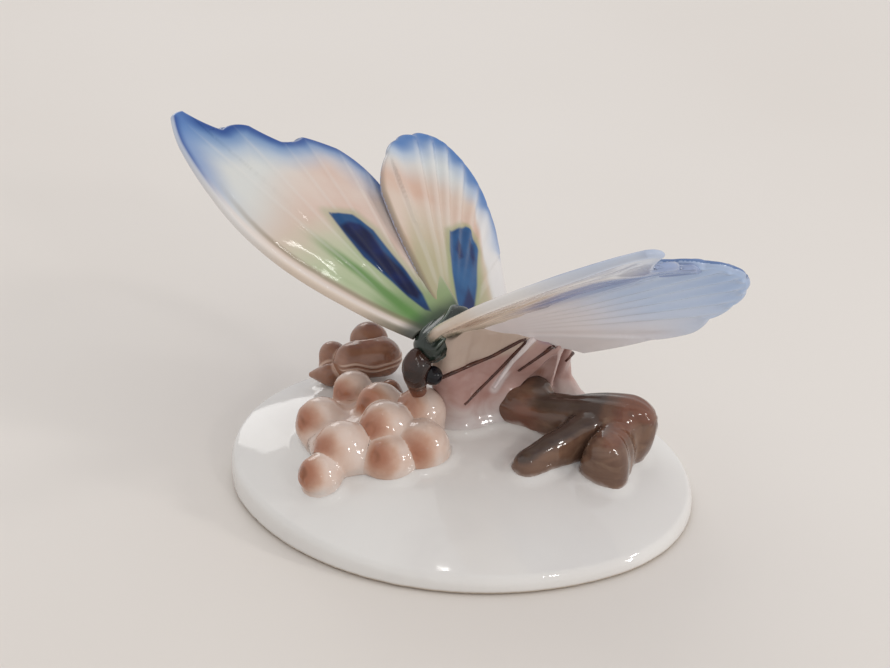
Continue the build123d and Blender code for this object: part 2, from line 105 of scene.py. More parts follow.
# Painted eye spots, in millimetres along and across the wing
FOREWING_SPOT = [
    (34.7, 6.2), (31.2, 11.4), (25.2, 11.9), (18.0, 9.6), (12.6, 8.1), (6.4, 5.9),
    (1.4, 3.2), (3.0, 1.8), (7.6, 1.5), (14.1, 1.8), (20.6, 2.1), (27.1, 3.9),
]
FOREWING_SPOT_CORE = [
    (30.0, 5.6), (29.9, 8.4), (28.1, 10.2), (24.2, 10.2), (19.9, 8.2), (14.0, 7.4),
    (6.9, 5.4), (5.8, 3.4), (8.3, 2.2), (14.5, 2.8), (21.9, 3.9), (28.3, 4.9),
]
HINDWING_SPOT = [
    (29.6, 2.8), (34.8, 8.4), (33.5, 10.3), (27.7, 11.3), (15.1, 9.0), (6.1, 6.8),
    (2.9, 2.0), (7.6, 1.6), (15.6, 1.5), (22.7, 1.9),
]
HINDWING_SPOT_CORES = [
    [(28.4, 5.2), (27.0, 6.4), (22.5, 6.2), (20.6, 4.4), (24.1, 4.0)],
    [(30.4, 8.6), (29.2, 9.9), (24.0, 9.6), (20.5, 8.2), (25.0, 8.0)],
    [(14.0, 5.9), (8.7, 7.3), (5.9, 6.4), (2.9, 2.0), (7.3, 3.5)],
]

# How finely a wing is meshed, and how its edge is rounded, in millimetres
EDGE_STEPS, WING_COLUMNS, WING_ROWS = 12, 260, 96
HALF_THICKNESS, RIM_ROUNDING = 0.76, 0.9
# Tip and margin are places in the edge's list of points; the relief's heights are in millimetres.
# The section has the start, the heading and the length and turn of each arc.
WINGS = {
    "forewing": SimpleNamespace(
        length=73.5, chord=40.0, outline=FOREWING_OUTLINE, veins=FOREWING_VEINS,
        spot=FOREWING_SPOT, cores=[FOREWING_SPOT_CORE], section=((-25.2, -3.24), 12.99, [(56.0, -28.88)]),
        tip=54, margin=(48, 144), vein_width=0.6, vein_height=0.15, pleat=0.12, roll=0.34, bead=0.10,
    ),
    "hindwing": SimpleNamespace(
        length=62.0, chord=31.0, outline=HINDWING_OUTLINE, veins=HINDWING_VEINS,
        spot=HINDWING_SPOT, cores=HINDWING_SPOT_CORES,
        section=((-16.74, -1.2), 8.87, [(32.36, -17.74), (5.0, -32.0)]),
        tip=72, margin=(36, 132), vein_width=1.0, vein_height=0.07, pleat=0.42, roll=0.03, bead=0.34,
    ),
}

# Centre and radius of the bud balls, in millimetres
BUD_BALLS = [
    (-24.2, 3.7, 16.1, 4.1), (-16.2, -2.3, 17.2, 4.7), (-27.0, -7.4, 14.6, 4.7),
    (-19.2, -15.6, 14.2, 5.4), (-12.5, -8.9, 16.6, 5.1), (-7.6, -1.4, 17.0, 5.0),
    (-4.2, -9.8, 14.4, 5.0), (-9.4, -14.9, 13.0, 4.5), (-21.5, -22.3, 11.2, 4.1),
]
# The cushion under the buds, the way that their tips point, and the width of their joins
CUSHION_CENTRE, CUSHION_RADII = np.array([-17.0, -6.0, 12.5]), np.array([14.0, 13.0, 4.2])
BUD_LEAN, BUD_JOIN = np.array([-0.34, -0.78, 0.22]), 0.62

# The limb's axis, its rounded left end, the knot of its side twig and its reddest place
LIMB_START, LIMB_END = np.array([7.0, 10.0, 16.0]), np.array([32.6, 10.3, 14.2])
LIMB_LEFT_END, KNOT_PLACE = np.array([8.0, 7.0, 16.5]), np.array([33.8, 6.0, 17.4])
RED_PLACE = np.array([11.0, 6.0, 15.0])

# The clay wall: its direction, the way its near side faces, its middle, length, foot and top
WALL_RUN = np.array([0.70711, 0.70711, 0.0])
WALL_FACE = np.array([0.70711, -0.70711, 0.0])
WALL_MIDDLE = np.array([-5.606, 0.954, 0.0])
WALL_LENGTH, WALL_FOOT, WALL_TOP = 26.0, 5.4, 34.4
# Share of the height and share of the depth of the wall's flank
WALL_FLANKS = [(0.00, 1.50), (0.36, 1.10), (0.57, 0.90), (0.99, 0.45)]
# Paths on the wall: share of its length and of its height
LEG_PATHS = {
    "leg_front_left": [(-0.05, 0.687), (0.45, 0.765), (0.79, 0.850), (0.50, 0.660), (0.17, 0.459)],
    "leg_middle_left": [(1.09, 0.800), (0.88, 0.700), (0.65, 0.610)],
    "leg_hind_left": [(1.20, 0.680), (1.13, 0.640), (1.07, 0.595)],
    "leg_front_right": [(0.06, 0.634), (0.20, 0.517), (0.14, 0.341)],
    "leg_middle_right": [(0.26, 0.623), (0.44, 0.517), (0.38, 0.377)],
    "leg_hind_right": [(0.50, 0.588), (0.70, 0.482), (0.62, 0.341)],
}
WEB_PATH = [(0.91, 0.89), (0.755, 0.80), (0.60, 0.69), (0.43, 0.527)]
CREASE_PATH = [(1.09, 0.83), (0.98, 0.69), (0.99, 0.46), (1.17, 0.37)]
# The crest's lean, its longest reach in millimetres, and the way that the near legs face
WEB_LEAN = np.array([0.42, -0.42, 0.80]) / math.sqrt(0.42**2 + 0.42**2 + 0.80**2)
WEB_LONGEST = 12.0
LEGS_FACE = np.array([0.28, -0.84, 0.47]) / math.sqrt(0.28**2 + 0.84**2 + 0.47**2)

# Area lamps: name, place, width, height, watts and colour
WARM_WHITE = (1.0, 0.98, 0.95)
LAMPS = [
    ("window", (-0.75, 1.0, 0.58), 0.42, 0.50, 1.3, (1.0, 0.99, 0.97)),
    ("ceiling_back", (0.10, 0.62, 1.02), 0.02, 0.016, 0.045, WARM_WHITE),
    ("ceiling_top", (-0.12, 0.10, 1.20), 0.022, 0.022, 0.07, WARM_WHITE),
    ("side_high", (1.10, 0.05, 0.62), 0.11, 0.11, 1.7, WARM_WHITE),
    ("side_low", (1.15, -0.12, 0.34), 0.11, 0.11, 1.4, WARM_WHITE),
    ("side_front", (0.85, -0.75, 0.60), 0.10, 0.10, 1.2, WARM_WHITE),
]


def unit(vector):
    return vector / np.linalg.norm(vector)


def turned(first, second, degrees):
    """The first direction, turned towards the second."""
    bend = math.radians(degrees)
    return first * math.cos(bend) + second * math.sin(bend)


def smooth(low, high, value):
    """0 at low, 1 at high and softly between, also where low is the larger."""
    share = np.clip((value - low) / (high - low), 0, 1)
    return share * share * (3 - 2 * share)


def fading(distance, width, power=2):
    """1 at no distance and near 0 beyond the width; a higher power keeps the middle even."""
    return np.exp(-((distance / width) ** power))


def distance_to(points, place):
    return np.linalg.norm(points - place, axis=1)


def around(points, place, width, power=2):
    return fading(distance_to(points, place), width, power)


def mound_top(x, y):
    """Height of the glazed mound, in millimetres, over a place on the table."""
    drop = MOUND_HEIGHT - RIM_HEIGHT
    bow_x = (MOUND_HALF_LENGTH**2 + drop**2) / (2 * drop)
    bow_y = (MOUND_HALF_WIDTH**2 + drop**2) / (2 * drop)
    sag = np.sqrt(np.maximum(bow_y**2 - y**2, 0)) - bow_y
    level = np.sqrt(np.maximum((bow_x + sag) ** 2 - x**2, 0)) - bow_x
    return MOUND_HEIGHT + level + (y - x) * math.tan(math.radians(MOUND_LEAN))


def above_mound(points):
    return points[:, 2] - mound_top(points[:, 0], points[:, 1])


def wobble(points, size, seed):
    """Soft hand-made unevenness: a sum of waves in fixed random directions."""
    rng = np.random.default_rng(seed)
    total = np.zeros(len(points))
    for k in range(WOBBLE_WAVES):
        way = unit(rng.normal(size=3))
        wave = points @ way * (2 * math.pi / size) * (0.6 + 0.25 * k) + rng.uniform(0, 6.3)
        total += np.sin(wave) / (1 + 0.5 * k)
    return total / WOBBLE_HEIGHT


# ---- node writing
def ink(code):
    """Linear colour of a six-digit web code."""
    parts = [int(code[i : i + 2], 16) / 255 for i in (0, 2, 4)]
    return tuple(p / 12.92 if p <= 0.04045 else ((p + 0.055) / 1.055) ** 2.4 for p in parts)


def operator(operation, reflected=False):
    """One arithmetic sign of a socket: a maths node that takes both sides in their written order."""

    def write(self, other):
        return self.math(operation, *((other, self) if reflected else (self, other)))

    return write


class Socket:
    """A node's output that takes arithmetic, so that a mask is written as one expression."""

    __add__, __radd__ = operator("ADD"), operator("ADD", True)
    __sub__, __rsub__ = operator("SUBTRACT"), operator("SUBTRACT", True)
    __mul__, __rmul__ = operator("MULTIPLY"), operator("MULTIPLY", True)

    def __init__(self, wiring, link):
        self.wiring, self.link = wiring, link

    def math(self, operation, *values):
        return self.wiring.node("ShaderNodeMath", {"operation": operation}, values)

    def __abs__(self):
        return self.math("ABSOLUTE", self)

    def above(self, low, high):
        """0 below low, 1 above high, softly between."""
        settings = {"interpolation_type": "SMOOTHSTEP", "clamp": True}
        return self.wiring.node("ShaderNodeMapRange", settings, [self, low, high, 0.0, 1.0])

    def below(self, low, high):
        return 1 - self.above(low, high)

    def clamped(self):
        return self.wiring.node("ShaderNodeClamp", {}, [self, 0.0, 1.0])


class Wiring:
    """A node tree that is written node by node."""

    def __init__(self, tree):
        self.tree = tree

    def put(self, target, value):
        """Links a socket, or sets a plain value; a text is a colour's web code."""
        if isinstance(value, Socket):
            self.tree.links.new(value.link, target)
        else:
            target.default_value = (*ink(value), 1.0) if isinstance(value, str) else value

    def node(self, kind, settings, inputs=(), output=0):
        """Adds one node: its settings first, then values or links by place or by name."""
        made = self.tree.nodes.new(kind)
        for key, value in settings.items():
            setattr(made, key, value)
        pairs = inputs.items() if isinstance(inputs, dict) else enumerate(inputs)
        for key, value in pairs:
            self.put(made.inputs[key], value)
        return Socket(self, made.outputs[output])


class Finish(Wiring):
    """A glazed material written as expressions."""

    def __init__(self, name, **constants):
        self.material = FINISHES[name] = bpy.data.materials.new(name)
        self.material.use_nodes = True
        super().__init__(self.material.node_tree)
        self.shader = self.tree.nodes["Principled BSDF"]
        for socket, value in {"IOR": GLAZE_IOR, **constants}.items():
            self.shader.inputs[socket.replace("_", " ")].default_value = value

    def attribute(self, name):
        return self.node("ShaderNodeAttribute", {"attribute_name": name}, output="Fac")

    def place(self, *stretch):
        """Place on the piece, or that place stretched along each axis."""
        plain = self.node("ShaderNodeTexCoord", {}, output="Object")
        if not stretch:
            return plain
        return self.node("ShaderNodeVectorMath", {"operation": "MULTIPLY"}, [plain, stretch])

    def noise(self, scale, detail, vector=None, distortion=0.0):
        inputs = {"Vector": vector or self.place(), "Scale": scale, "Detail": detail, "Distortion": distortion}
        return self.node("ShaderNodeTexNoise", {}, inputs, "Fac")

    def ripple(self, scale):
        """Slow unevenness of a poured glaze."""
        return self.noise(scale, 1.0) * 0.7 + self.noise(scale * 3.1, 1.0) * 0.3

    def mottled(self, cloud, first, second):
        """Ground of two colours that follow a noise."""
        return self.mix(cloud.above(0.3, 0.7), first, second)

    def mix(self, share, first, second):
        """Colour mix; first shows where the share is 0."""
        return self.node("ShaderNodeMix", {"data_type": "RGBA"}, {0: share, 6: first, 7: second}, 2)

    def coats(self, colour, *coats):
        """Brushes one colour after another over the first, each with its own share."""
        for share, coat in coats:
            colour = self.mix(share, colour, coat)
        return colour

    def finish(self, colour, roughness, height, strength):
        """Joins the colour, the roughness and a bump of that height and strength to the shader."""
        bump_inputs = {"Strength": strength, "Distance": BUMP_DEPTH, "Height": height}
        bump = self.node("ShaderNodeBump", {}, bump_inputs, "Normal")
        for socket, value in (("Base Color", colour), ("Roughness", roughness), ("Normal", bump)):
            self.put(self.shader.inputs[socket], value)


# ---- glazes and paints
def white_glaze():
    f = Finish("white_glaze")
    cloud, pool = f.noise(38.0, 2.0), f.noise(95.0, 3.0, distortion=0.4)
    foot = f.node("ShaderNodeSeparateXYZ", {}, [f.place()], "Z")
    # The bottom 1.2 mm: matte as an unglazed foot, and painted darker as the contact shadow along the table
    unglazed_foot_and_shadow = foot.below(0.0004, 0.0012)
    colour = f.coats(
        f.mix(cloud.above(0.35, 0.7), "dedcd9", "d8d5d2"),
        (pool.above(0.55, 0.8) * 0.35, "d2cfcd"),
        (unglazed_foot_and_shadow, "a89884"),
    )
    f.finish(colour, 0.06 + unglazed_foot_and_shadow * 0.6 + pool * 0.02, f.ripple(120.0), 0.12)


def wing_paint(kind):
    """Underglaze painting: masks come from the wing's own attributes, in millimetres."""
    f = Finish(kind + "_paint", Specular_IOR_Level=0.2)
    read = ("span_mm", "chord_mm", "outer_mm", "edge_mm", "lead_mm", "spot_mm", "core_mm", "vein", "upper")
    span, chord, outer, edge, lead, spot, core, vein, upper = map(f.attribute, read)
    cloud = f.noise(75.0, 3.0)
    brush = f.node("ShaderNodeCombineXYZ", {}, [span * 0.02, f.attribute("fan") * 2.0, upper])
    streak = f.noise(2.0, 3.0, brush)
    mottle = f.noise(420.0, 2.0)
    soft = (cloud - 0.5) * 1.4 + (streak - 0.5) * 0.4
    soft_span, rough_span = span + soft * 3, span + soft * 4
    if kind == "forewing":
        reach = span - chord * 0.42 + soft * 5
        wide = span.above(18.0, 72.0)
        blue = (4.2 + wide * 7.5 - outer + soft * 3.0).above(-3.5, 6.5)
        deep = (0.6 + wide * 5.2 - outer + soft * 1.6).above(-3.0, 3.6)
        navy = (0.2 + wide * 2.6 - outer + soft * 0.8).above(-1.6, 1.6)
        lead_blue = (4.4 - lead + soft * 1.6).above(-2.5, 3.5) * soft_span.above(36.0, 62.0)
        lead_navy = (1.0 - lead + soft * 0.5).above(-1.0, 0.8) * soft_span.above(44.0, 66.0)
        inner = (span + soft * 7).below(17.0, 39.0) * (chord - 2.0 + soft).below(0.0, 4.0)
        green = inner * (lead - 2.0).above(0.0, 2.2)
        line = abs(chord + 0.9 + span * 0.04 + soft * 0.8).below(0.3, 2.2)
        near_root = rough_span.below(4.0, 15.0) * (lead - 1.6).above(0.0, 1.8)
        olive = abs(lead - 2.9 + soft * 0.6).below(0.1, 1.1) * rough_span.below(30.0, 56.0)
        spot_rim = (spot + 2.2 + soft * 0.7).above(0.0, 2.4) * (1 - span.above(30.0, 42.0) * 0.5)
        top = f.coats(
            f.mix(cloud.above(0.3, 0.72), "d3c2b7", "cdb3a6"),
            ((chord + soft * 3).below(-4.0, 6.0) * 0.5, "c9bcae"),
            (reach.above(36.0, 50.0), "cfd0cd"),
            ((reach + lead * -0.5).above(52.0, 72.0) * 0.55, "a9bad0"),
            (blue * 0.75, "8ba6c6"),
            (deep * 0.85, "4673ab"),
            (navy * 0.9, "1f4388"),
            (lead_blue * 0.75, "5c80b8"),
            (lead_navy * 0.9, "24468c"),
            (green * 0.7, "9cb488"),
            (line * rough_span.below(17.0, 36.0) * 0.85, "55803f"),
            (near_root * 0.75, "5e8a48"),
            (green * ((streak - 0.52) * 2.2).clamped() * 0.8, "6b8f55"),
            (olive * 0.62, "7d6f58"),
            (spot_rim * 0.5, "8b9c74"),
        )
        blot = f.mix(cloud.above(0.35, 0.65), "0c2f5e", "1a4876")
        night = f.mix(cloud.above(0.5, 0.66), "000a38", "021850")
        spot_blue = f.mix((core + soft * 0.35).above(-0.5, 0.9), blot, night)
        edge_roll = (lead.below(0.9, 2.2) * soft_span.below(38.0, 60.0) * 0.85, "ddd2cb")
        smudge = abs(span - 15 + soft * 3).below(1.5, 7.5) * abs(chord + 3.5 + soft).below(1.5, 6.0)
        # Painted shade: blue shadow in the hollow along the underside's rear part, where the hindwing meets it
        valley_shade = (chord - 1.5 + soft * 1.5).above(0.0, 6.5) * soft_span.above(9.0, 28.0)
        low = f.coats(
            f.mix((span + soft * 7).above(24.0, 44.0), "ead8c4", "f5f2ee"),
            ((span + soft * 5).above(46.0, 66.0), "d2dcec"),
            (rough_span.below(3.0, 13.0) * 0.85, "77745a"),
            (smudge * 0.8, "86603f"),
            # blue painted shade in the hollow between forewing and hindwing
            (valley_shade * 0.85, "5f7bb6"),
            ((1.6 - outer + soft).above(-1.0, 2.0) * 0.5, "aebfdc"),
        )
    else:
        wide = span.above(24.0, 58.0)
        blue = (1.8 + wide * 6.8 - outer + soft * 3.0).above(-3.0, 5.0)
        deep = (0.4 + wide * 3.6 - outer + soft * 1.6).above(-2.2, 2.6)
        green = (span + soft * 6).below(14.0, 36.0) * abs(chord - 2.0 + soft).below(8.0, 12.0)
        top = f.coats(
            f.mix(cloud.above(0.3, 0.72), "cfbcae", "caa997"),
            (rough_span.above(40.0, 50.0), "cdd0d0"),
            ((chord - 11.6 + soft * 0.7).above(0.0, 1.4), "d6d3d2"),
            (blue * 0.75, "8ba5c8"),
            (deep * 0.9, "4470ab"),
            (green * 0.7, "999b74"),
            ((spot + 1.6 + soft * 0.7).above(0.0, 2.0) * 0.6, "87976a"),
        )
        blot = f.mix(cloud.above(0.35, 0.65), "123f70", "1f5485")
        night = f.mix(cloud.above(0.45, 0.65), "021a50", "0a2c60")
        spot_blue = f.mix((core + soft * 0.35).above(-0.3, 0.8), blot, night)
        edge_roll = (lead.below(0.3, 1.3) * soft_span.below(30.0, 46.0) * 0.6, "8d7c62")
        lobe = (chord - 8.0 + soft * 2).above(0.0, 8.0) * span.below(30.0, 55.0)
        front = (chord + 7.0 + soft * 1.5).below(0.0, 6.0) * span.below(40.0, 58.0)
        low = f.coats(
            f.mix((span + soft * 6).above(18.0, 42.0), "e9e1e1", "bdcde6"),
            (rough_span.above(44.0, 62.0) * 0.7, "a3badd"),
            (lobe * 0.6, "e6e0df"),
            (front * 0.55, "8095c2"),
        )
    unpainted = (spot + 1.0).below(0.0, 1.0)
    top = f.coats(
        top,
        ((spot + soft * 0.15).above(0.1, 0.9), spot_blue),
        edge_roll,
        (vein.above(0.35, 0.95) * unpainted * 0.20, "dad6d2"),
    )
    low = f.mix(vein.above(0.1, 1.0) * 0.14, low, "e6eaf2")
    colour = f.coats(
        f.mix(upper, low, top),
        ((span + soft).below(0.5, 4.5) * 0.85, "39443a"),
        (edge.below(0.05, 0.7) * 0.3, "7c777c"),
    )
    f.finish(colour, 0.06 + mottle * 0.03, f.ripple(210.0), 0.08)


def bud_paint():
    f = Finish("bud_paint")
    tip, ring, foot = map(f.attribute, ("tip", "ring", "foot"))
    cloud = f.noise(230.0, 4.0)
    ragged = (cloud - 0.5) * 0.5
    colour = f.coats(
        f.mix((foot + ragged).above(0.1, 0.8), "d6d2ce", "d8cbc3"),
        ((tip + ragged).above(-0.35, 0.4) * 0.85, "c39c84"),
        ((tip + ragged).above(0.05, 0.68) * 0.85, "98593a"),
        ((tip + ragged + ring * 0.25).above(0.70, 1.1) * 0.75, "74401f"),
    )
    f.finish(colour, 0.06 + cloud * 0.04, f.ripple(330.0), 0.2)


def pod_brown():
    f = Finish("pod_brown")
    crease, foot = map(f.attribute, ("crease", "foot"))
    cloud = f.noise(210.0, 4.0)
    brush = f.noise(60.0, 3.0, f.place(1.0, 1.0, 6.0))
    colour = f.coats(
        f.mottled(cloud, "99705b", "835a46"),
        (brush.above(0.5, 0.8) * 0.5, "a58170"),
        ((crease + (cloud - 0.5) * 0.4).above(0.2, 0.75) * 0.9, "c8ab9a"),
        ((foot + (cloud - 0.5) * 0.3).below(0.0, 0.3) * 0.7, "b8a59a"),
    )
    f.finish(colour, 0.09 + cloud * 0.05, f.ripple(380.0) + crease * 0.4, 0.16)


def branch_brown():
    f = Finish("branch_brown")
    red, dark, foot, groove, knot = map(f.attribute, ("red", "dark", "foot", "groove", "knot"))
    cloud = f.noise(150.0, 5.0, distortion=0.7)
    grain = f.noise(75.0, 5.0, f.place(1.0, 2.0, 4.0), 0.8)
    colour = f.coats(
        f.mix(grain.above(0.3, 0.75), "745847", "593f33"),
        (cloud.above(0.52, 0.75) * 0.6, "9c836c"),
        ((red + (cloud - 0.5) * 0.9).above(0.25, 1.05) * 0.7, "744330"),
        ((dark + (grain - 0.5) * 0.8).above(0.25, 0.9) * 0.8, "403631"),
        (groove.above(0.35, 0.95) * 0.12, "45322a"),
        (knot.above(0.35, 0.65) * 0.7, "54433b"),
        ((foot + (cloud - 0.5) * 0.7).below(-0.04, 0.30) * 0.9, "c4bbb5"),
    )
    f.finish(colour, 0.08 + cloud * 0.05, f.ripple(330.0) + grain * 0.6, 0.22)


def clay_wall():
    f = Finish("wall_pink")
    read = ("shade", "ridge", "spot", "foot", "line", "beige")
    shade, ridge, spot, foot, line, beige = map(f.attribute, read)
    cloud = f.noise(150.0, 4.0, distortion=0.5)
    ragged = (cloud - 0.5) * 0.7
    colour = f.coats(
        f.mottled(cloud, "b3948d", "a07a72"),
        ((foot + ragged).below(0.0, 0.6) * 0.85, "c4c0be"),
        ((beige + ragged * 0.6).above(0.3, 0.9) * 0.8, "bfae9f"),
        ((shade + ragged).above(0.35, 1.0) * 0.8, "6a6c93"),
        ((spot + ragged * 0.6).above(0.3, 0.8) * 0.75, "83543f"),
        (ridge.above(0.2, 0.9) * 0.65, "d3cbca"),
        # Painted shade: dark line in the crease along the strut's edge
        (line.above(0.4, 0.9) * 0.75, "5a4640"),
    )
    f.finish(colour, 0.07 + cloud * 0.05, f.ripple(300.0), 0.22)


def body_green():
    f = Finish("body_green")
    ridge = f.attribute("ridge")
    cloud = f.noise(300.0, 4.0)
    hair = f.noise(260.0, 4.0, f.place(1.6, 0.5, 2.0), 0.8)
    colour = f.coats(
        f.mottled(hair, "18201a", "2a332d"),
        (cloud.above(0.55, 0.8) * 0.5, "2a2f2b"),
        ((ridge + (hair - 0.5) * 0.5).above(0.4, 1.0) * 0.6, "6f7a70"),
    )
    f.finish(colour, 0.10 + hair * 0.08, hair + ridge, 0.30)


def head_brown():
    f = Finish("head_brown")
    low, cloud = f.attribute("low"), f.noise(330.0, 4.0)
    colour = f.mix(cloud.above(0.3, 0.75), "3a2119", "1f1512")
    colour = f.mix((low + (cloud - 0.5) * 0.6).above(0.4, 1.0) * 0.8, colour, "7a4630")
    f.finish(colour, 0.08 + cloud * 0.06, f.ripple(500.0), 0.25)


def abdomen_brown():
    f = Finish("abdomen_brown")
    ring, cloud = f.attribute("ring"), f.noise(240.0, 4.0)
    colour = f.mottled(cloud, "5d4a38", "4a3d33")
    colour = f.mix((ring + (cloud - 0.5) * 0.6).above(0.4, 0.9) * 0.8, colour, "2a2420")
    f.finish(colour, 0.10 + cloud * 0.06, f.ripple(420.0), 0.2)


def eye_black():
    f = Finish("eye_black", Specular_IOR_Level=0.3)
    cloud = f.noise(700.0, 3.0)
    f.finish(f.mottled(cloud, "0b0a0d", "17131a"), 0.04 + cloud * 0.03, cloud, 0.05)


def leg_brown():
    f = Finish("leg_brown")
    cloud = f.noise(500.0, 4.0)
    f.finish(f.mix(cloud.above(0.3, 0.75), "3d211b", "5b3528"), 0.10 + cloud * 0.05, cloud, 0.12)


def web_white():
    f = Finish("web_white")
    cloud = f.noise(300.0, 3.0)
    colour = f.mottled(cloud, "ddd3d2", "d2c4c3")
    f.finish(colour, 0.08 + cloud * 0.04, f.ripple(420.0), 0.15)


def table_top():
    f = Finish("table_top", IOR=1.4)
    cloud, grain = f.noise(3.0, 3.0), f.noise(240.0, 4.0)
    f.finish(f.mottled(cloud, "e2ddd8", "dcd6d0"), 0.62 + grain * 0.1, grain, 0.05)


for kind in WINGS:
    wing_paint(kind)
for paint in (white_glaze, bud_paint, pod_brown, branch_brown, clay_wall, body_green, head_brown):
    paint()
for paint in (abdomen_brown, eye_black, leg_brown, web_white, table_top):
    paint()


# ---- mesh helpers
def linked(name, data):
    """An object of that data, linked to the scene."""
    made = bpy.data.objects.new(name, data)
    bpy.context.scene.collection.objects.link(made)
    return made


def evaluated_mesh(carrier):
    """The plain mesh that the carrier's modifiers make; the carrier itself is removed."""
    graph = bpy.context.evaluated_depsgraph_get()
    mesh = bpy.data.meshes.new_from_object(carrier.evaluated_get(graph))
    bpy.data.objects.remove(carrier)
    return mesh


def framed(piece, nodes):
    """Tells the frame the piece's body and hides the CAD nodes that it stands for."""
    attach(piece, "root")
    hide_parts(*nodes)
    return piece


def new_piece(name, points, faces, attributes, slot, nodes):
    """Closed smooth mesh in millimetres, made a piece in metres with its named attributes."""
    mesh = bpy.data.meshes.new(name)
    mesh.from_pydata((points * MM).tolist(), [], faces)
    mesh.update()
    for key, values in attributes.items():
        mesh.attributes.new(key, "FLOAT", "POINT").data.foreach_set("value", np.asarray(values, np.float32))
    mesh.shade_smooth()
    mesh.materials.append(FINISHES[slot])
    return framed(linked(name, mesh), nodes)


def mesh_tree(piece):
    data = piece.data
    return BVHTree.FromPolygons([v.co for v in data.vertices], [tuple(p.vertices) for p in data.polygons])


def node_middle(node):
    low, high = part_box(node)
    return np.array((low + high) / 2) / MM


def tidy_surface(piece, gap):
    """Joins doubled points and turns every face outwards."""
    work = bmesh.new()
    work.from_mesh(piece.data)
    bmesh.ops.remove_doubles(work, verts=work.verts, dist=gap)
    bmesh.ops.dissolve_degenerate(work, edges=work.edges, dist=SHORT_EDGE)
    bmesh.ops.recalc_face_normals(work, faces=work.faces)
    work.to_mesh(piece.data)
    work.free()
    piece.data.shade_smooth()


def merged_copy(nodes, name, swell):
    """One object of several CAD nodes, each swollen about its own middle."""
    corners, faces = [], []
    for node in nodes:
        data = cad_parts[node].data
        start = len(corners)
        low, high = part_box(node)
        middle = (low + high) / 2
        corners.extend(tuple(middle + (v.co - middle) * swell) for v in data.vertices)
        faces.extend(tuple(i + start for i in p.vertices) for p in data.polygons)
    mesh = bpy.data.meshes.new(name)
    mesh.from_pydata(corners, [], faces)
    return linked(name, mesh)


def corner_table(faces):
    """Corner numbers of every face in four columns; a triangle repeats its first corner."""
    return np.array([face[:4] if len(face) > 3 else (*face, face[0]) for face in faces])


def large_islands(count, faces):
    """Marks the points of every island that is more than a loose crumb inside the clay."""
    label = np.arange(count)
    corners = corner_table(faces)
    while True:
        lowest = label.copy()
        np.minimum.at(lowest, corners.ravel(), np.repeat(label[corners].min(axis=1), 4))
        lowest = lowest[lowest]
        if (lowest == label).all():
            break
        label = lowest
    return np.bincount(label, minlength=count)[label] >= CRUMB_POINTS


def softened(nodes, name, voxel, rounds, swell=1.0):
    """Clay skin over CAD nodes: one closed surface whose joins are smoothed as a glaze does.

    The voxel is in millimetres; more rounds make the skin softer.
    """
    piece = merged_copy(nodes, name, swell)
    steps = {
        "WELD": {"merge_threshold": WELD_GAP},
        "REMESH": {"mode": "VOXEL", "voxel_size": voxel * MM},
        "SMOOTH": {"factor": 0.5, "iterations": rounds},
    }
    for kind, settings in steps.items():
        step = piece.modifiers.new(kind.lower(), kind)
        for key, value in settings.items():
            setattr(step, key, value)
    mesh = evaluated_mesh(piece)
    count = len(mesh.vertices)
    points, normals = np.empty(count * 3), np.empty(count * 3)
    mesh.vertices.foreach_get("co", points)
    mesh.vertices.foreach_get("normal", normals)
    faces = [tuple(p.vertices) for p in mesh.polygons]
    keep = large_islands(count, faces)
    place = np.cumsum(keep) - 1
    faces = [tuple(int(place[i]) for i in face) for face in faces if keep[face[0]]]
    return points.reshape(-1, 3)[keep] / MM, normals.reshape(-1, 3)[keep], faces


def evened(points, faces, share, rounds):
    """Moves each point towards the middle of its neighbours by its share."""
    corners = corner_table(faces)
    first, second = corners.ravel(), np.roll(corners, 1, axis=1).ravel()
    count = np.bincount(first, minlength=len(points)) + np.bincount(second, minlength=len(points))
    for _ in range(rounds):
        total = np.zeros_like(points)
        np.add.at(total, first, points[second])
        np.add.at(total, second, points[first])
        points = points + (total / count[:, None] - points) * share[:, None]
    return points


class Clay:
    """A piece in the making: the softened skin of CAD nodes, in millimetres."""

    def __init__(self, name, nodes, voxel, rounds, swell=1.0):
        self.name, self.nodes = name, nodes
        self.points, self.normals, self.faces = softened(nodes, name, voxel, rounds, swell)

    def push(self, amount):
        """Moves each point out along its normal."""
        self.points += self.normals * amount[:, None]

    def seat(self, flare, reach, sink, fade):
        """Spreads the foot over the mound and sinks it a little; gives each point's share of the height fade."""
        lift = above_mound(self.points)
        near = np.clip(1 - lift / reach, 0, 1) ** 2
        self.points += self.normals * (1, 1, 0) * (near * flare)[:, None]
        self.points[:, 2] -= near * sink
        return np.clip(lift / fade, 0, 1)

    def fired(self, slot, **attributes):
        return new_piece(self.name, self.points, self.faces, attributes, slot, self.nodes)


def segment_distance(points, start, end):
    """Distance of each point to a segment, and the share along it."""
    start, end = np.asarray(start, float), np.asarray(end, float)
    run = end - start
    share = np.clip((points - start) @ run / (run @ run), 0, 1)
    return distance_to(points, start + share[:, None] * run), share


def path_distance(points, path):
    best = np.full(len(points), 1e9)
    for start, end in zip(path, path[1:]):
        best = np.minimum(best, segment_distance(points, start, end)[0])
    return best


def inside_distance(points, polygon):
    """Signed distance to a polygon, positive inside."""
    closed = np.vstack([polygon, polygon[:1]])
    away = path_distance(points, closed)
    inside = np.zeros(len(points), bool)
    for (x1, y1), (x2, y2) in zip(closed, closed[1:]):
        if y1 == y2:
            continue
        crossing = (y1 > points[:, 1]) != (y2 > points[:, 1])
        inside ^= crossing & (points[:, 0] < x1 + (points[:, 1] - y1) * (x2 - x1) / (y2 - y1))
    return np.where(inside, away, -away)


